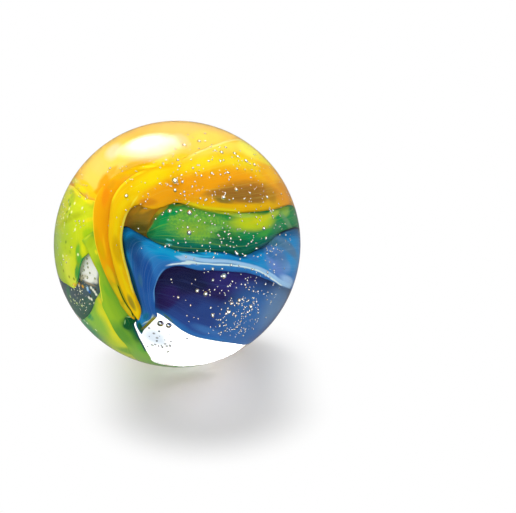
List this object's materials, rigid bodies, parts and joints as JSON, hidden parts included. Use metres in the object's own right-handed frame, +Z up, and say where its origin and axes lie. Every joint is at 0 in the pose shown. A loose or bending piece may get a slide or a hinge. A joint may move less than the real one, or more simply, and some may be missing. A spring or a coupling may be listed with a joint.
{
  "type": "glass marble",
  "caption": "Large solid glass marble: a clear ball with folded sheets of yellow, orange, amber, green, blue, violet and lime glass sealed inside, and fine seed bubbles.",
  "frame": {"origin": "the centre of the ball", "axes": "+Z up; -Y is the front, the side with the blue arch and the yellow ribbon's point; +X is the viewer's right"},
  "size_m": [0.035, 0.035, 0.035],
  "materials": {
    "clear_glass": "clear soda-lime glass, fire-polished, with seed bubbles",
    "yellow_glass": "opaque golden yellow glass",
    "orange_glass": "dense orange glass",
    "amber_glass": "amber glass with smoky brown streaks",
    "green_glass": "emerald glass mottled with lime",
    "blue_glass": "sky blue to cobalt glass",
    "violet_glass": "deep violet and navy glass",
    "lime_glass": "yellow-green glass",
    "leaf_green_glass": "leaf green glass with a lime edge",
    "teal_glass": "dark grey-green glass"
  },
  "bodies": {
    "root": {"clear_glass": "clear_glass", "yellow_ribbon": "yellow_glass", "orange_ribbon": "orange_glass", "amber_canopy": "amber_glass", "green_band": "green_glass", "blue_arch": "blue_glass", "violet_wall": "violet_glass", "lime_lobe": "lime_glass", "leaf_strand": "leaf_green_glass", "lime_skirt": "lime_glass", "teal_patch": "teal_glass"}
  },
  "joints": []
}
